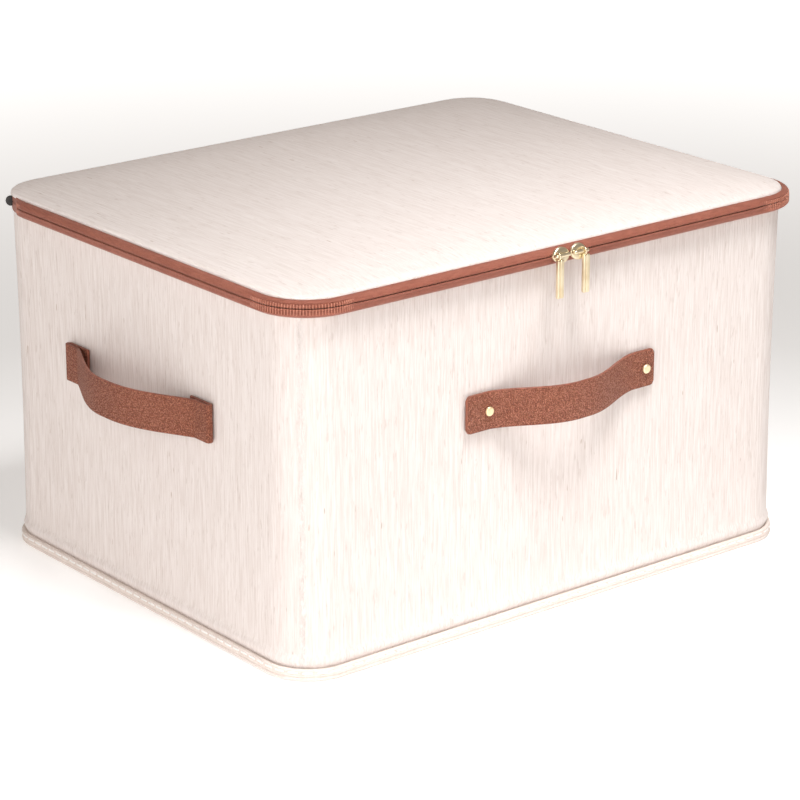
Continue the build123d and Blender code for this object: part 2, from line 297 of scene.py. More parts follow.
# Uneven threads that run one way, with slubs and flecks
def slubLinen(name, grain, tone, shade, fleck, contrast, cornerHighlightAndPucker=False):
    recipe = Recipe(name, Roughness=0.88, Sheen_Weight=0.1, Sheen_Roughness=0.6, Specular_IOR_Level=0.2)
    along = recipe.stretched(*{"z": (1, 1, 0.045), "y": (1, 0.045, 1)}[grain])
    short = recipe.stretched(*{"z": (1, 1, 0.14), "y": (1, 0.14, 1)}[grain])
    fine = recipe.noise(along, 940, 3, 0.62)
    broad = recipe.noise(along, 330, 2, 0.5)
    slub = recipe.ramp(recipe.noise(short, 640, 2, 0.55), 0.62, 0.72)
    dash = recipe.ramp(recipe.noise(short, 560, 1, 0.3), 0.795, 0.825)
    patch = recipe.noise(recipe.coords, 9, 2, 0.5)
    colour = recipe.blend(recipe.math("MULTIPLY", recipe.ramp(fine, 0.38, 0.66), contrast), tone, shade)
    colour = recipe.blend(recipe.math("MULTIPLY", recipe.ramp(broad, 0.42, 0.75), 0.10), colour, shade)
    colour = recipe.blend(recipe.math("MULTIPLY", slub, 0.50), colour, shade)
    colour = recipe.blend(recipe.math("MULTIPLY", patch, 0.06), colour, shade)
    colour = recipe.blend(recipe.math("MULTIPLY", dash, 0.60), colour, fleck)
    height = recipe.math("ADD", fine, recipe.math("MULTIPLY", slub, -0.35))
    if cornerHighlightAndPucker:  # down the bend of each corner the cloth is puckered (a bump), and its colour is lightened there as a painted highlight
        apart = recipe.add("SeparateXYZ", {"Vector": recipe.coords})
        split = apart.node.outputs
        reach = binSize["corner"] * math.sqrt(0.5)
        dx = recipe.math("SUBTRACT", recipe.math("ABSOLUTE", split[0]), arcX + reach)
        dy = recipe.math("SUBTRACT", recipe.math("ABSOLUTE", split[1]), arcY + reach)
        far = recipe.math("SQRT", recipe.math("ADD", recipe.math("MULTIPLY", dx, dx),
                                              recipe.math("MULTIPLY", dy, dy)))
        near = recipe.ramp(far, 0.0034, 0.0008)
        bendStreaks = recipe.ramp(recipe.noise(recipe.stretched(1, 1, 0.35), 620, 4, 0.7), 0.42, 0.62)
        line = recipe.math("MULTIPLY", near, bendStreaks)
        # painted highlight: the colour is lightened down each corner bend
        colour = recipe.blend(recipe.math("MULTIPLY", line, 0.8), colour, tuple(min(1, c * 1.16) for c in tone))
        height = recipe.math("ADD", height, recipe.math("MULTIPLY", line, 1.2))
    return recipe.done(colour, recipe.bump(height, 0.0005, 0.8))


def plainCloth(name, tone, shade, scale=900):  # a close plain weave
    recipe = Recipe(name, Roughness=0.9, Sheen_Weight=0.1, Specular_IOR_Level=0.2)
    warp = recipe.noise(recipe.stretched(1, 1, 0.15), scale, 2, 0.5)
    weft = recipe.noise(recipe.stretched(0.15, 0.15, 1), scale, 2, 0.5)
    weave = recipe.math("ADD", warp, weft)
    colour = recipe.blend(recipe.math("MULTIPLY", recipe.ramp(weave, 0.75, 1.3), 0.6), tone, shade)
    colour = recipe.blend(recipe.math("MULTIPLY", recipe.noise(recipe.coords, 14, 2), 0.15), colour, shade)
    return recipe.done(colour, recipe.bump(weave, 0.0003, 0.45))


def feltCloth(name, tone, shade):  # non-woven cloth pressed with a small dot pattern
    recipe = Recipe(name, Roughness=0.92, Specular_IOR_Level=0.15, Sheen_Weight=0.08)
    dots = recipe.add("TexVoronoi", {"Vector": recipe.coords, "Scale": 420, "Randomness": 0.15})
    press = recipe.ramp(dots, 0.18, 0.42)
    fibre = recipe.noise(recipe.coords, 600, 4, 0.7)
    colour = recipe.blend(recipe.math("MULTIPLY", press, 0.35), tone, shade)
    colour = recipe.blend(recipe.math("MULTIPLY", fibre, 0.30), colour, shade)
    height = recipe.math("SUBTRACT", recipe.math("MULTIPLY", fibre, 0.4), recipe.math("MULTIPLY", press, 0.6))
    return recipe.done(colour, recipe.bump(height, 0.0003, 0.5))


def pebbledLeather(name, tone, dark, light, scale=1150):
    recipe = Recipe(name, Specular_IOR_Level=0.45)
    drift = recipe.add("VectorMath", {0: recipe.noise(recipe.coords, 420, 2, 0.5), 1: (0.0007,) * 3},
                       operation="MULTIPLY")
    bent = recipe.add("VectorMath", {0: recipe.coords, 1: drift}, operation="ADD")
    cells = recipe.add("TexVoronoi", {"Vector": bent, "Scale": scale, "Smoothness": 0.25}, feature="SMOOTH_F1")
    edges = recipe.ramp(cells, 0.22, 0.62)
    patch = recipe.noise(recipe.coords, 900, 2, 0.6)
    colour = recipe.blend(recipe.ramp(patch, 0.42, 0.66), tone, light)
    # painted shade: the crevices between the pebbles are coloured darker
    colour = recipe.blend(recipe.math("MULTIPLY", edges, 0.85), colour, dark)
    rough = recipe.math("ADD", 0.42, recipe.math("MULTIPLY", edges, 0.3))
    height = recipe.math("SUBTRACT", 1.0, cells)
    height = recipe.math("ADD", height, recipe.math("MULTIPLY", recipe.noise(recipe.coords, 2400, 2), 0.15))
    return recipe.done(colour, recipe.bump(height, 0.0014, 1.0), rough)


def paintedEdge(name, tone, dark):
    recipe = Recipe(name, Specular_IOR_Level=0.5)
    run = recipe.noise(recipe.coords, 320, 3, 0.6)
    colour = recipe.blend(recipe.ramp(run, 0.35, 0.7), tone, dark)
    return recipe.done(colour, recipe.bump(run, 0.0002, 0.4),
                       recipe.math("ADD", 0.36, recipe.math("MULTIPLY", run, 0.2)))


def ribbedTape(name, tone, dark, light):  # woven zip tape, with fine ribs across its run
    recipe = Recipe(name, Roughness=0.62, Sheen_Weight=0.12, Sheen_Roughness=0.45, Specular_IOR_Level=0.3)
    ribs = recipe.noise(recipe.stretched(1, 1, 0.12), 1500, 2, 0.5)
    threads = recipe.noise(recipe.stretched(0.1, 0.1, 1), 1700, 2, 0.5)
    weave = recipe.math("ADD", ribs, threads)
    patch = recipe.noise(recipe.coords, 60, 3, 0.6)
    colour = recipe.blend(recipe.ramp(patch, 0.3, 0.75), tone, light)
    colour = recipe.blend(recipe.math("MULTIPLY", recipe.ramp(weave, 0.8, 1.25), 0.6), colour, dark)
    return recipe.done(colour, recipe.bump(weave, 0.0003, 0.7))


def nylon(name, tone, dark):
    recipe = Recipe(name, Specular_IOR_Level=0.5)
    wear = recipe.noise(recipe.coords, 500, 2, 0.5)
    colour = recipe.blend(recipe.ramp(wear, 0.3, 0.7), tone, dark)
    return recipe.done(colour, recipe.bump(wear, 0.0001, 0.3),
                       recipe.math("ADD", 0.34, recipe.math("MULTIPLY", wear, 0.15)))


def paleGold(name, tone, deep, least=0.24):  # zinc with a pale gold plating, slightly brushed
    recipe = Recipe(name, Metallic=1.0)
    brush = recipe.noise(recipe.stretched(1, 1, 0.06), 1800, 2, 0.6)
    cloud = recipe.noise(recipe.coords, 120, 2, 0.5)
    colour = recipe.blend(recipe.ramp(cloud, 0.35, 0.75), tone, deep)
    rough = recipe.math("ADD", least, recipe.math("MULTIPLY", brush, 0.16))
    return recipe.done(colour, recipe.bump(brush, 0.00005, 0.3), rough)


def pressedBoard(name, tone, shade):
    recipe = Recipe(name, Roughness=0.9)
    fibre = recipe.noise(recipe.stretched(1, 0.4, 0.4), 300, 4, 0.7)
    return recipe.done(recipe.blend(fibre, tone, shade), recipe.bump(fibre, 0.0003, 0.4))


def softWadding(name, tone, shade):
    recipe = Recipe(name, Roughness=0.95, Sheen_Weight=0.3)
    fibre = recipe.noise(recipe.coords, 260, 4, 0.7)
    return recipe.done(recipe.blend(fibre, tone, shade), recipe.bump(fibre, 0.0008, 0.6))


linenTone = (0.840, 0.772, 0.745)
linenShade = (0.620, 0.525, 0.480)
wallLinen = slubLinen("wallLinen", "z", linenTone, linenShade, (0.40, 0.27, 0.19), 0.52, cornerHighlightAndPucker=True)
lidLinen = slubLinen("lidLinen", "y", linenTone, linenShade, (0.40, 0.27, 0.19), 0.34)
hemCloth = plainCloth("hemCloth", (0.85, 0.76, 0.71), (0.70, 0.60, 0.54), 700)
liningCloth = feltCloth("liningCloth", (0.72, 0.655, 0.60), (0.58, 0.51, 0.455))
whiteThread = plainCloth("whiteThread", (0.96, 0.94, 0.92), (0.84, 0.80, 0.77), 2200)
# the strap leather's second colour is the painted shade in the crevices between its pebbles
strapLeather = pebbledLeather("strapLeather", (0.460, 0.150, 0.082), (0.180, 0.048, 0.025), (0.660, 0.260, 0.155))
strapEdge = paintedEdge("strapEdge", (0.300, 0.092, 0.052), (0.180, 0.055, 0.032))
zipTape = ribbedTape("zipTape", (0.310, 0.098, 0.062), (0.190, 0.055, 0.034), (0.380, 0.130, 0.085))
# the teeth are a lighter brown than the tape they belong to: painted highlight
zipTeeth = nylon("zipTeeth", (0.520, 0.210, 0.140), (0.400, 0.140, 0.090))
blackStop = nylon("blackStop", (0.008, 0.007, 0.007), (0.02, 0.018, 0.016))
gold = paleGold("paleGold", (0.88, 0.77, 0.56), (0.74, 0.60, 0.39))
rivetGold = paleGold("rivetGold", (1.0, 0.87, 0.60), (1.0, 0.82, 0.52), 0.42)
greyBoard = pressedBoard("greyBoard", (0.46, 0.37, 0.28), (0.34, 0.26, 0.19))
wadding = softWadding("wadding", (0.88, 0.87, 0.84), (0.72, 0.70, 0.66))
print("finishes made")

# camera, lights and floor
view = {"from": (-1.2193, -1.5207, 0.7667), "at": (-0.0342, -0.0456, 0.1123), "lens": 142.5}
cameraData = bpy.data.cameras.new("camera")
cameraData.lens, cameraData.sensor_width = view["lens"], 36
cameraData.clip_start, cameraData.clip_end = 0.1, 50
camera = bpy.data.objects.new("camera", cameraData)
bpy.context.collection.objects.link(camera)
camera.location = view["from"]
camera.rotation_euler = (Vector(view["at"]) - Vector(view["from"])).to_track_quat("-Z", "Y").to_euler()
bpy.context.scene.camera = camera
bpy.context.scene.view_settings.view_transform = "Standard"

studio = {
    "top": {"at": (-0.05, -0.65, 1.5), "to": (0, -0.3, 0.2), "size": 0.5,
            "power": 2.1, "spread": 50, "tone": (1, 1, 1)},
    "left": {"at": (-1.2, -0.8, 0.5), "to": (0, 0, 0.12), "size": 0.8,
             "power": 9.0, "spread": 180, "tone": (1, 0.985, 0.97)},
}
for name, light in studio.items():
    lamp = bpy.data.lights.new(name + "Light", "AREA")
    lamp.energy, lamp.size, lamp.color = light["power"], light["size"], light["tone"]
    lamp.spread = math.radians(light["spread"])
    holder = bpy.data.objects.new(name + "Light", lamp)
    bpy.context.collection.objects.link(holder)
    holder.location = light["at"]
    holder.rotation_euler = (Vector(light["to"]) - Vector(light["at"])).to_track_quat("-Z", "Y").to_euler()
ambient = {"tone": (1, 0.90, 0.81, 1), "strength": 0.30}
world = bpy.data.worlds.new("studioWorld")
world.use_nodes = True
world.node_tree.nodes["Background"].inputs["Color"].default_value = ambient["tone"]
world.node_tree.nodes["Background"].inputs["Strength"].default_value = ambient["strength"]
bpy.context.scene.world = world

pick(None)
bpy.ops.mesh.primitive_plane_add(size=14, location=(0, 0, -0.0004))
floor = bpy.context.object
floor.name = "floor"
# painted light: the floor glows, more strongly further from the centre, and its glow also lights the bin's lower walls
glowingFloor = Recipe("glowingFloor", Roughness=0.9, Specular_IOR_Level=0.1, Emission_Color=(1, 1, 1, 1))
far = glowingFloor.ramp(glowingFloor.add("VectorMath", {0: glowingFloor.coords}, out=1, operation="LENGTH"), 0.5, 1.5)
floorGlow = {"near": 0.28, "rise": 0.58}
glowingFloor.put(glowingFloor.shader, "Emission Strength",
              glowingFloor.math("ADD", floorGlow["near"], glowingFloor.math("MULTIPLY", far, floorGlow["rise"])))
floorTone = glowingFloor.blend(glowingFloor.noise(glowingFloor.coords, 3), (0.93, 0.93, 0.93), (0.95, 0.95, 0.95))
floor.data.materials.append(glowingFloor.done(floorTone))
print("camera and lights set")

# walls
walls = {"top": 224.5, "hemTop": 7.6, "hollow": 1.0, "ease": 0.35}


def wallStand(height):  # walls draw in a little at half height and roll into the seam at their foot
    share = (height - walls["hemTop"]) / (walls["top"] - walls["hemTop"])
    foot = height - walls["hemTop"]
    roll = 1.5 * math.exp(-((foot - 4.2) / 3.4) ** 2) - 0.7 * math.exp(-foot / 1.1)
    return (-walls["hollow"] * math.sin(math.pi * share) ** 1.2 + roll) * mm


levels = [6.9, 7.6, 8.1, 8.8, 9.7, 10.8, 12, 13.4, 15, 17, 20, 25, 33, 45, 62, 80, 100, 120, 140,
          160, 180, 200, 214, 221, 224.3]
profile = [(wallStand(max(z, walls["hemTop"])), z * mm) for z in levels]
profile += [(-0.6 * mm, 224.6 * mm), (-1.15 * mm, 224.2 * mm)]
profile += [(-1.15 * mm + min(0, wallStand(z)), z * mm) for z in (200, 150, 100, 50, 14)]
wallCloth = wrapProfile(profile, cuts=30, closed=True)
for v in wallCloth.data.vertices:  # slow waves in the cloth over the boards
    core, out = coreAndNormal(v.co)
    flat = 1 - min(1, abs(out.x * out.y) * 2)
    wave = math.sin(v.co.x * 31 + v.co.z * 17) * math.sin(v.co.y * 27 + 1.3) * math.cos(v.co.z * 23 + 0.7)
    fade = math.sin(math.pi * max(0, min(1, (v.co.z - 0.012) / 0.2125)))
    v.co += out * wave * flat * fade * walls["ease"] * mm
outwards(wallCloth)
settle(wallCloth, "wallCloth", "bin", wallLinen, ["outer_shell"], 60)
print("walls made")

# base seam
hem = {"stitchPitch": 8.1, "stitchLong": 6.2, "stitchWide": 1.2, "stitchHeight": 5.3}
profile = [(-0.9, 6.7), (0.3, 7.0), (1.3, 7.45), (2.2, 7.3), (2.9, 6.75), (3.05, 6.2), (2.8, 5.7), (2.75, 4.9), (3.05, 4.4),
           (3.2, 3.8), (3.1, 3.2), (2.6, 2.75), (2.6, 2.6), (3.1, 2.2), (3.2, 1.4), (3.0, 0.7), (2.5, 0.2), (1.8, 0.03),
           (-3, 0.03), (-3, 1.15), (-0.9, 1.4)]
baseHem = wrapProfile([(s * mm, z * mm) for s, z in profile], cuts=40, closed=True)
for v in baseHem.data.vertices:  # the sewn strip pulls in at every few stitches
    core, out = coreAndNormal(v.co)
    if v.co.z > 0.0015 and (v.co - core).length > binSize["corner"]:
        v.co += out * 0.12 * mm * math.sin(v.co.x * 390 + v.co.y * 390)
outwards(baseHem)
settle(baseHem, "baseHem", "bin", hemCloth, ["base_binding"], 70)

pick(None)
bpy.ops.mesh.primitive_cube_add(size=1)
stitch = bpy.context.object
stitch.scale = (hem["stitchLong"] * mm, 0.9 * mm, hem["stitchWide"] * mm)
bpy.ops.object.transform_apply(scale=True)
editing(stitch)
bpy.ops.mesh.select_all(action="SELECT")
bpy.ops.mesh.bevel(offset=0.4 * mm, segments=2)
pick(stitch)
baseStitches = copies(stitch, runPlaces(hem["stitchPitch"] * mm, 2.85 * mm, hem["stitchHeight"] * mm))
settle(baseStitches, "baseStitches", "bin", whiteThread)

pick(None)
bpy.ops.mesh.primitive_plane_add(size=1)
baseCloth = bpy.context.object  # the cloth under the base
baseCloth.scale = (binSize["width"] - 5.8 * mm, binSize["depth"] - 5.8 * mm, 1)
bpy.ops.object.transform_apply(scale=True)
editing(baseCloth)
bpy.ops.mesh.select_all(action="SELECT")
bpy.ops.mesh.bevel(offset=binSize["corner"] - 3 * mm, segments=12, affect="VERTICES")
bpy.ops.mesh.inset(thickness=4 * mm, depth=0)
pick(baseCloth)
for v in baseCloth.data.vertices:
    v.co.z = 0.2 * mm
modify(baseCloth, "SOLIDIFY", thickness=0.9 * mm, offset=1)
outwards(baseCloth)
settle(baseCloth, "baseCloth", "bin", liningCloth, ["base_cover"], 40)
print("base made")

zipRun = {"toothPitch": 1.5, "tipStand": 0.7, "taperLong": 14, "taperBefore": 8, "stopTurn": 24, "stopStand": 1.8,
          "hingeStand": 4.45, "hingeHeight": 230.9, "stopRadius": 3.2}
lowerProfile = [(-1.1, 225.5), (0.0, 225.4), (2.2, 226.0), (4.2, 227.0), (5.4, 228.2), (5.9, 229.4), (6.3, 230.35),
                (7.0, 230.6), (7.4, 230.25), (7.35, 229.75), (7.0, 229.4), (6.9, 228.9), (6.95, 228.0), (6.7, 227.0),
                (6.0, 226.1), (4.7, 225.3), (2.7, 224.8), (0.5, 224.55), (-1.1, 224.62)]
upperProfile = [(1.65, 234.5), (2.6, 234.3), (3.8, 233.9), (5.0, 233.1), (5.7, 232.3), (6.0, 231.6), (6.25, 231.2),
                (6.7, 231.15), (6.95, 231.5), (6.9, 232.3), (6.5, 233.2), (5.7, 234.1), (4.5, 234.85), (3.2, 235.3),
                (2.3, 235.35), (1.75, 235.0)]
hingeProfile = [(-1.1, 225.5), (0.1, 225.4), (1.3, 226.4), (2.4, 228.0), (3.3, 229.8), (3.6, 230.9), (3.3, 232.0), (2.5, 233.4),
                (1.7, 234.5), (1.7, 235.1), (2.2, 235.2), (3.3, 233.7), (4.1, 232.2), (4.45, 230.9), (4.1, 229.5),
                (3.3, 227.8), (2.2, 226.1), (0.9, 224.9), (-1.1, 224.62)]


def asMetres(points):
    return [(s * mm, z * mm) for s, z in points]


def easedStep(share):
    share = max(0, min(1, share))
    return share * share * (3 - 2 * share)


def backTurn(out):  # degrees round a back corner
    return math.degrees(math.asin(max(0, min(1, out.y))))


def endShare(spot, out):  # 0 along the band, rising to 1 where it is drawn flat behind each back corner
    gone = max(0, spot.y - arcY + zipRun["taperBefore"] * mm) if backTurn(out) < 0.01 else \
        zipRun["taperBefore"] * mm + math.radians(backTurn(out)) * binSize["corner"]
    return easedStep(gone / (zipRun["taperLong"] * mm))


def cornerShare(spot):  # 1 in the bend of a corner, falling to 0 along the straight sides
    onStraight = abs(spot.x) < arcX or abs(spot.y) < arcY
    near = max(0, min(abs(abs(spot.x) - arcX), abs(abs(spot.y) - arcY))) if onStraight else 0
    return 1 - easedStep(near / 0.016)


def shapeBand(piece):  # flattens the band towards its ends and opens it over the teeth in the corners
    for v in piece.data.vertices:
        core, out = coreAndNormal(v.co)
        stand = (Vector((v.co.x, v.co.y, 0)) - core).length - binSize["corner"]
        ended = endShare(v.co, out)
        shift = -0.96 * ended * max(0, stand - zipRun["tipStand"] * mm)
        height = v.co.z / mm
        if stand > 6 * mm and 227.2 < height < 233.4:
            shift -= 1.15 * mm * cornerShare(v.co) * (1 - ended)
        v.co += out * shift


for side, profile, body, node in (("Lower", lowerProfile, "bin", "lower_tape"),
                                  ("Upper", upperProfile, "lid", "upper_tape")):
    band = wrapProfile(asMetres(profile), run="zip", cuts=48, closed=True, ends=True)
    shapeBand(band)
    outwards(band)
    settle(band, "zipTape" + side, body, zipTape, [node], 60)


def tooth(wide, deep, tall):
    pick(None)
    bpy.ops.mesh.primitive_cube_add(size=1)
    piece = bpy.context.object
    piece.scale = (wide * mm, deep * mm, tall * mm)
    bpy.ops.object.transform_apply(scale=True)
    editing(piece)
    bpy.ops.mesh.select_all(action="SELECT")
    bpy.ops.mesh.bevel(offset=wide * mm * 0.3, segments=1)
    pick(piece)
    return piece


def toothStand(shown):  # the coil stands clear of the tape only where the band turns a corner
    def stand(spot):
        out = coreAndNormal(spot)[1]
        return (shown - 0.9 * (1 - cornerShare(spot))) * (1 - endShare(spot, out)) * mm
    return stand


for side, deep, tall, shown, height, lean, body in (("Lower", 1.0, 3.7, 6.15, 228.85, 0, "bin"),
                                                    ("Upper", 1.0, 2.5, 5.95, 232.25, 8, "lid")):
    coil = copies(tooth(0.8, deep, tall), runPlaces(zipRun["toothPitch"] * mm, toothStand(shown), height * mm,
                                                    run="zip", lean=math.radians(lean)))
    settle(coil, "zipTeeth" + side, body, zipTeeth, [side.lower() + "_coil"], 40)

hingeCloth = wrapProfile(asMetres(hingeProfile), run="back", cuts=60, closed=True, ends=True)
for v in hingeCloth.data.vertices:  # the cloth lies flatter round the corners
    core, out = coreAndNormal(v.co)
    stand = (Vector((v.co.x, v.co.y, 0)) - core).length - binSize["corner"]
    v.co -= out * 0.9 * max(0, stand - 1.9 * mm) * easedStep((90 - backTurn(out)) / 18)
outwards(hingeCloth)
settle(hingeCloth, "hingeCloth", None, zipTape,
       ["hinge_tape_lower", "hinge_tape_upper", "hinge_fold"], 60)
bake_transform(hingeCloth)

for side, sign in (("left", -1), ("right", 1)):
    for half, body, node in (("Lower", "bin", "zip_stop_"), ("Upper", "lid", "lid_stop_")):
        pick(None)
        turn = math.radians(zipRun["stopTurn"])
        reach = binSize["corner"] + zipRun["stopStand"] * mm
        spot = Vector((sign * arcX, arcY, 0)) + Vector((sign * math.cos(turn), math.sin(turn), 0)) * reach
        bpy.ops.mesh.primitive_cylinder_add(vertices=36, radius=zipRun["stopRadius"] * mm, depth=2.6 * mm,
                                            location=(spot.x, spot.y, zipRun["hingeHeight"] * mm),
                                             rotation=(0, math.radians(90), math.radians(90) + sign * turn))
        stop = bpy.context.object
        bpy.ops.object.transform_apply(location=True, rotation=True, scale=True)
        modify(stop, "BEVEL", width=0.5 * mm, segments=3, limit_method="ANGLE", angle_limit=math.radians(40))
        editing(stop)
        bpy.ops.mesh.select_all(action="SELECT")
        level = 230.85 if half == "Lower" else 230.95
        bpy.ops.mesh.bisect(plane_co=(0, 0, level * mm), plane_no=(0, 0, 1), use_fill=True,
                            clear_outer=half == "Lower", clear_inner=half == "Upper")
        outwards(stop)
        settle(stop, side + "Stop" + half, body, blackStop, [node + side], 40)
print("zip band made")

# inside of the bin
inner = {"face": -4.75}
profile = [(inner["face"], 5.4), (inner["face"], 40), (inner["face"] - 0.15, 80), (inner["face"] - 0.2, 120), (inner["face"] - 0.1, 170),
           (inner["face"], 222.5), (inner["face"] + 0.5, 224.3), (inner["face"] + 0.9, 223.5), (inner["face"] + 0.85, 5.4)]
innerWalls = wrapProfile(asMetres(profile), cuts=24, closed=True)
outwards(innerWalls)
settle(innerWalls, "innerWalls", "bin", liningCloth, ["wall_lining"], 60)
profile = [(-1.4, 224.75), (-1.2, 225.6), (-2.0, 226.25), (-3.2, 226.35), (-4.4, 226.15), (-5.1, 225.5), (-5.0, 224.75)]
rimPiping = wrapProfile(asMetres(profile), cuts=24, closed=True)
outwards(rimPiping)
settle(rimPiping, "rimPiping", "bin", hemCloth, ["rim_binding"], 70)


def roundedPad(stand, low, rise, thick, side):  # a flat cloth that swells slightly between its edges
    pick(None)
    bpy.ops.mesh.primitive_plane_add(size=1)
    pad = bpy.context.object
    pad.scale = (binSize["width"] + 2 * stand, binSize["depth"] + 2 * stand, 1)
    bpy.ops.object.transform_apply(scale=True)
    editing(pad)
    bpy.ops.mesh.select_all(action="SELECT")
    bpy.ops.mesh.bevel(offset=binSize["corner"] + stand, segments=10, affect="VERTICES")
    bpy.ops.mesh.inset(thickness=3 * mm)
    bpy.ops.mesh.inset(thickness=5 * mm)
    bpy.ops.mesh.inset(thickness=9 * mm)
    pick(pad)
    for v in pad.data.vertices:
        core = coreAndNormal(v.co)[0]
        gap = (binSize["corner"] + stand) - (v.co - core).length
        v.co.z = low + side * rise * (1 - math.exp(-max(0, gap) / 0.006))
    modify(pad, "SOLIDIFY", thickness=thick, offset=-side)
    outwards(pad)
    return pad


innerFloor = roundedPad(-4.9 * mm, 4.5 * mm, 0.25 * mm, 0.6 * mm, 1)
settle(innerFloor, "innerFloor", "bin", liningCloth, ["base_lining"], 50)
print("inside made")

lid = {"reach": 1.5, "low": 234.7, "roll": 1.5, "rollHigh": 1.4, "rise": 3.75, "slope": 8.5, "thick": 0.8, "pitch": 5.6,
       "held": 3.0, "free": 10.0, "most": 0.9}
edgeRows = [0, 0.4, 0.9, 1.5, 2.3, 3.4, 4.8, 6.6, 9, 12, 16, 20.5, 25.5, 30.5]


def rowStops(half, core):  # rows close together at the edge and evenly spaced across the middle
    edge = [half - r * mm for r in edgeRows]
    count = round(2 * core / (lid["pitch"] * mm))
    middle = [core - 2 * core * (i + 1) / count for i in range(count - 1)]
    return [-v for v in edge] + [-m for m in middle] + edge[::-1]


stopsX = rowStops(halfW + lid["reach"] * mm, arcX)
stopsY = rowStops(halfD + lid["reach"] * mm, arcY)
pick(None)
bpy.ops.mesh.primitive_grid_add(x_subdivisions=len(stopsX) - 1, y_subdivisions=len(stopsY) - 1, size=1)
lidTop = bpy.context.object
for v in lidTop.data.vertices:
    x = stopsX[round((v.co.x + 0.5) * (len(stopsX) - 1))]
    y = stopsY[round((v.co.y + 0.5) * (len(stopsY) - 1))]
    a, b = abs(x) - arcX, abs(y) - arcY
    gap = (binSize["corner"] + lid["reach"] * mm - max(a, b)) / mm
    if a > 0 and b > 0:
        shrink = max(a, b) / math.hypot(a, b)
        x, y = math.copysign(arcX + a * shrink, x), math.copysign(arcY + b * shrink, y)
    bend = max(0, 1 - gap / lid["roll"])
    z = lid["low"] + lid["rollHigh"] * math.sqrt(1 - bend * bend) + lid["rise"] * (1 - math.exp(-gap / lid["slope"]))
    v.co = Vector((x, y, z * mm))
outwards(lidTop)
calm = [v.co.copy() for v in lidTop.data.vertices]
hold = lidTop.vertex_groups.new(name="sewn")
for v in lidTop.data.vertices:
    core, out = coreAndNormal(v.co)
    gap = (binSize["corner"] + lid["reach"] * mm - max(abs(v.co.x) - arcX, abs(v.co.y) - arcY)) / mm
    hold.add([v.index], 1 - easedStep((gap - lid["held"]) / (lid["free"] - lid["held"])), "REPLACE")
pick(lidTop)
step = lidTop.modifiers.new("Cloth", "CLOTH")
step.settings.vertex_group_mass = "sewn"
step.settings.use_pressure = True
step.settings.uniform_pressure_force = 4
step.settings.effector_weights.gravity = 0
step.settings.tension_stiffness = step.settings.compression_stiffness = 12
step.settings.bending_stiffness = 3
step.point_cache.frame_start, step.point_cache.frame_end = 1, 20
for count in range(1, 21):
    bpy.context.scene.frame_set(count)
bpy.ops.object.modifier_apply(modifier=step.name)
bpy.context.scene.frame_set(1)
for v, rest in zip(lidTop.data.vertices, calm):
    moved = v.co - rest
    far = moved.length / mm
    v.co = rest + moved * (lid["most"] * (1 - math.exp(-far / lid["most"])) / far if far > 0.001 else 1)
modify(lidTop, "SUBSURF", levels=1, render_levels=1)
modify(lidTop, "SOLIDIFY", thickness=lid["thick"] * mm, offset=-1)
settle(lidTop, "lidTop", "lid", lidLinen, ["lid_cover"], 60)

profile = [(-0.2, 232.0), (0.1, 233.0), (0.0, 234.2), (-0.6, 234.4), (-1.7, 234.3), (-2.2, 233.2), (-1.9, 232.1), (-1.0, 231.7)]
lidPiping = wrapProfile(asMetres(profile), cuts=24, closed=True)
outwards(lidPiping)
settle(lidPiping, "lidPiping", "lid", hemCloth, ["lid_binding"], 70)
lidLiningCloth = roundedPad(-2.2 * mm, 231.8 * mm, 0.6 * mm, 0.6 * mm, -1)
settle(lidLiningCloth, "lidLiningCloth", "lid", liningCloth, ["lid_lining"], 50)
print("lid made")

# strap handles
strap = {"wide": 24.0, "thick": 2.0, "half": 76.0, "foot": 18.0, "sideFoot": 13.5, "bulge": 19.0, "sideBulge": 20.5,
         "top": 3.0, "corner": 3.0, "height": 142.0}


def archLine(lift, foot, bulge, crease):  # how far the strap's middle stands off the wall, along its length
    points, end = [], strap["half"]
    steps = 100
    for i in range(steps + 1):
        x = -end + 2 * end * i / steps
        t = max(0, min(1, (end - foot - abs(x)) / (end - foot - strap["top"])))
        smooth, sharp = t * t * (3 - 2 * t), math.sin(math.pi * t / 2)
        crown = 1.2 * max(0, 1 - (x / (end - foot)) ** 2)
        points.append((x, lift + (bulge + crown) * (smooth + (sharp - smooth) * crease)))
    return points


def foldedLine(lift, under, gap):  # the same with both ends turned back beneath
    top = archLine(lift, strap["sideFoot"], strap["sideBulge"], 0.85)
    radius = (lift - under) / 2
    turn = []
    for i in range(9):
        a = math.pi * i / 8
        turn.append((-strap["half"] + radius - radius * math.sin(a), under + radius - radius * math.cos(a)))
    start = [(-strap["half"] + gap - (gap - radius) * i / 10, under) for i in range(10)]
    middle = [p for p in top if abs(p[0]) < strap["half"] - radius - 1]
    left = start + turn
    right = [(-x, s) for x, s in reversed(left)]
    return left + middle + right


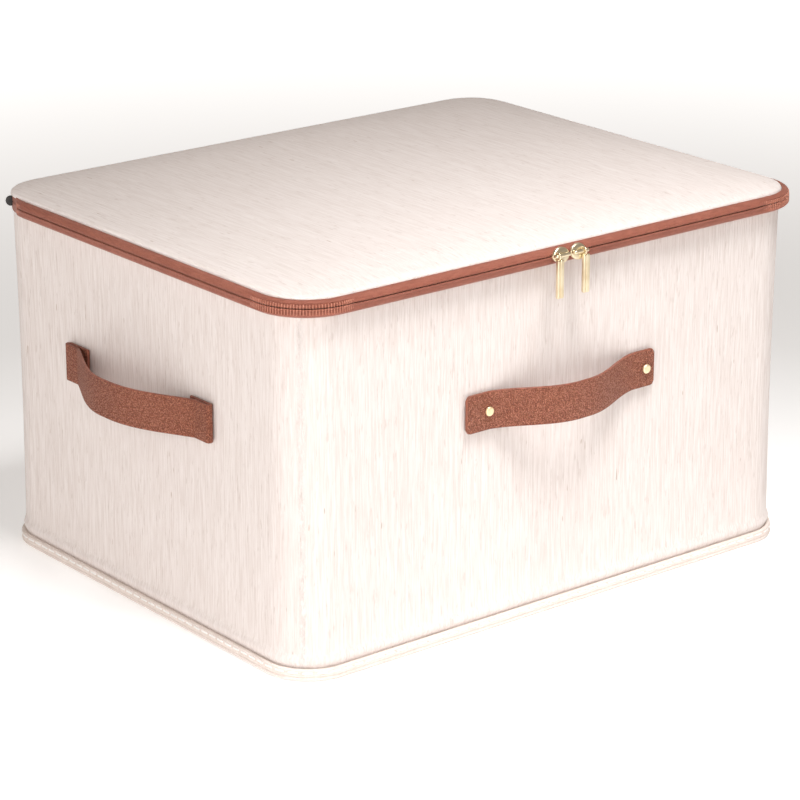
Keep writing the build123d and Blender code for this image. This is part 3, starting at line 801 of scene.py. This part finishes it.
def strapPiece(points, rivets, rounded):
    pick(None)
    rows = len(points)
    bpy.ops.mesh.primitive_grid_add(x_subdivisions=rows - 1, y_subdivisions=12, size=1)
    piece = bpy.context.object
    length = sum(math.dist(points[i], points[i + 1]) for i in range(rows - 1))
    travelled = [0]
    for i in range(rows - 1):
        travelled.append(travelled[-1] + math.dist(points[i], points[i + 1]))
    for v in piece.data.vertices:
        i = round((v.co.x + 0.5) * (rows - 1))
        x, s = points[i]
        edge = min(travelled[i], length - travelled[i])
        half = strap["wide"] / 2
        if rounded and edge < strap["corner"]:
            half -= strap["corner"] - math.sqrt(max(0, strap["corner"] ** 2 - (strap["corner"] - edge) ** 2))
        y = v.co.y * 2 * half
        y += 0.25 * math.sin(x * 0.09 + 1.0) * (1 - abs(x) / 80)
        s += 0.35 * (1 - (2 * v.co.y) ** 2) * math.exp(-((abs(x) - 30) / 26) ** 2)  # bowed across its width
        for rivetX in rivets:  # the rivet draws the leather down
            s -= 0.35 * math.exp(-((x - rivetX) ** 2 + y * y) / 16)
        v.co = Vector((x * mm, y * mm, s * mm))
    bpy.context.object.data.materials.append(strapLeather)
    bpy.context.object.data.materials.append(strapEdge)
    modify(piece, "SOLIDIFY", thickness=strap["thick"] * mm, offset=0, material_offset_rim=1, use_even_offset=True)
    editing(piece)
    bpy.ops.mesh.select_all(action="DESELECT")
    net = bmesh.from_edit_mesh(piece.data)
    net.normal_update()
    for edge in net.edges:
        if len(edge.link_faces) == 2 and edge.link_faces[0].material_index != edge.link_faces[1].material_index:
            edge.select_set(True)
    bmesh.update_edit_mesh(piece.data)
    bpy.ops.mesh.bevel(offset=0.45 * mm, segments=3, material=1)
    pick(piece)
    outwards(piece)
    return piece


def onWall(piece, side):  # x runs along the wall, z points out of the bin
    turns = {"front": Matrix(((1, 0, 0), (0, 0, -1), (0, 1, 0))),
             "left": Matrix(((0, 0, -1), (-1, 0, 0), (0, 1, 0))),
             "right": Matrix(((0, 0, 1), (1, 0, 0), (0, 1, 0)))}
    spots = {"front": (0, -halfD, 0), "left": (-halfW, 0, 0), "right": (halfW, 0, 0)}
    piece.matrix_world = Matrix.Translation(Vector(spots[side]) + Vector((0, 0, strap["height"] * mm))) @ turns[side].to_4x4()
    return piece


rivetSpots = (-strap["half"] + 16.8, strap["half"] - 7.5)
frontStrap = onWall(strapPiece(archLine(1.3, strap["foot"], strap["bulge"], 0.35), rivetSpots, True), "front")
settle(frontStrap, "frontStrap", "bin", strapLeather, ["front_handle"], 45)
for side in ("left", "right"):
    folded = onWall(strapPiece(foldedLine(3.9, 1.2, 21), (), False), side)
    settle(folded, side + "Strap", "bin", strapLeather, [side + "_handle"], 45)
print("handles made")

# zip sliders and pulls
slide = {"tilt": 12, "length": 13.0, "wide": 10.0, "plate": 1.6, "lift": 0.8, "bail": 2.8, "bailLong": 11.2, "wire": 1.15,
         "meet": -2.4, "apart": 7.2}
noseY, noseZ = -halfD - 7 * mm, 230.9 * mm
tilt = math.radians(slide["tilt"])


def leaning(x):  # the slider's own place: its z points up and out
    return Matrix.Translation((x, noseY, noseZ)) @ Matrix.Rotation(math.radians(90) - tilt, 4, "X")


def sliderShell(x, sign):
    pick(None)
    bpy.ops.mesh.primitive_cylinder_add(vertices=40, radius=0.5, depth=1)
    shell = bpy.context.object
    shell.scale = (slide["length"] * mm, slide["wide"] * mm, slide["plate"] * mm)
    shell.location.z = (slide["lift"] + slide["plate"] / 2) * mm
    bpy.ops.object.transform_apply(location=True, scale=True)
    net = editing(shell)
    bpy.ops.mesh.select_all(action="DESELECT")
    for face in net.faces:
        face.select_set(face.normal.z > 0.9)
    bmesh.update_edit_mesh(shell.data)
    bpy.ops.mesh.inset(thickness=0.9 * mm, depth=0.45 * mm)
    bpy.ops.mesh.inset(thickness=1.0 * mm, depth=0.25 * mm)
    bpy.ops.mesh.inset(thickness=0.8 * mm, depth=0.08 * mm)
    pick(shell)
    for v in shell.data.vertices:  # the broad end points at the other slider, the tail is squarer
        along = v.co.x * sign / (slide["length"] / 2 * mm)
        if along > 0:
            v.co.y *= 1 - 0.45 * along ** 2
        v.co.z -= 0.25 * mm * max(0, along) ** 2
    modify(shell, "BEVEL", width=0.3 * mm, segments=2, limit_method="ANGLE", angle_limit=math.radians(40))
    shell.matrix_world = leaning(x)
    pick(shell)
    bpy.ops.object.transform_apply(location=True, rotation=True, scale=True)
    parts = [shell]
    for size, at in (((4.2, 6.0, 0.7), (x - sign * 3.3 * mm, -halfD - 4.3 * mm, noseZ)),
                     ((10.8, 0.8, 3.6), (x, -halfD - 2.2 * mm, noseZ))):
        pick(None)
        bpy.ops.mesh.primitive_cube_add(size=1, location=at)
        block = bpy.context.object
        block.scale = Vector(size) * mm
        bpy.ops.object.transform_apply(location=True, scale=True)
        editing(block)
        bpy.ops.mesh.select_all(action="SELECT")
        bpy.ops.mesh.bevel(offset=0.15 * mm, segments=2)
        pick(block)
        parts.append(block)
    return bringTogether(parts)


def wire(points, radius, order=3):  # a round wire through a few points
    data = bpy.data.curves.new("wire", "CURVE")
    data.dimensions = "3D"
    data.bevel_depth, data.bevel_resolution, data.resolution_u, data.use_fill_caps = radius, 5, 8, True
    line = data.splines.new("NURBS")
    line.points.add(len(points) - 1)
    for point, place in zip(line.points, points):
        point.co = (*place, 1)
    line.order_u, line.use_endpoint_u = order, True
    piece = bpy.data.objects.new("wire", data)
    bpy.context.collection.objects.link(piece)
    pick(piece)
    bpy.ops.object.convert(target="MESH")
    return bpy.context.object


def bailPiece(x):
    half, low, high = slide["bailLong"] / 2, slide["lift"] + 1.2, slide["lift"] + 1.2 + slide["bail"]
    points = [(-half + 0.6, 0, low), (-half + 0.6, 0, high - 1.1), (-half + 0.75, 0, high), (-half + 1.8, 0, high), (0, 0, high),
              (half - 1.8, 0, high), (half - 0.75, 0, high), (half - 0.6, 0, high - 1.1), (half - 0.6, 0, low)]
    bail = wire([Vector(p) * mm for p in points], slide["wire"] * mm)
    bail.matrix_world = leaning(x)
    return bail


pull = {"long": 24.0, "deep": 2.6, "eye": 1.9, "eyeWire": 0.6, "rods": ((-1.45, 2.0), (1.05, 2.9)), "drop": 2.2}


def pullPiece(x, y, z):
    pick(None)
    bpy.ops.mesh.primitive_torus_add(major_radius=pull["eye"] * mm, minor_radius=pull["eyeWire"] * mm,
                                     major_segments=32, minor_segments=12, rotation=(0, math.radians(90), 0),
                                     location=(x - 1.2 * mm, y, z))
    parts = [bpy.context.object]
    for offset, wide in pull["rods"]:  # the strip is folded once along its length
        pick(None)
        bpy.ops.mesh.primitive_cube_add(size=1)
        rod = bpy.context.object
        rod.scale = (wide * mm, pull["deep"] * mm, pull["long"] * mm)
        rod.location = (x + offset * mm, y - 0.4 * mm, z - (pull["drop"] + pull["long"] / 2) * mm)
        bpy.ops.object.transform_apply(location=True, scale=True)
        editing(rod)
        bpy.ops.mesh.select_all(action="SELECT")
        bpy.ops.mesh.bevel(offset=0.75 * mm, segments=4)
        pick(rod)
        parts.append(rod)
    return bringTogether(parts)


for side, sign in (("left", -1), ("right", 1)):
    x = (slide["meet"] + sign * slide["apart"]) * mm
    shell = sliderShell(x, sign)
    settle(shell, side + "SliderShell", side + "_slider", gold, [f"slider_{side}_body"], 35)
    bail = bailPiece(x)
    settle(bail, side + "SliderBail", side + "_slider", gold, [f"slider_{side}_bail"], 50)
    tag = pullPiece(x + sign * 3.1 * mm, -170.695 * mm, 231.898 * mm)
    settle(tag, side + "Pull", side + "_pull", gold, [f"pull_{side}"], 35)
print("sliders made")

# carried-over CAD nodes
kept = {
    greyBoard: ["front_board", "back_board", "left_board", "right_board", "base_board", "lid_board"],
    wadding: ["lid_padding"],
    rivetGold: [f"{side}_rivet_{end}" for side in ("front", "left", "right") for end in ("left", "right", "washers")],
}
for finish, names in kept.items():
    for name in names:
        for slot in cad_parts[name].material_slots:
            slot.material = finish
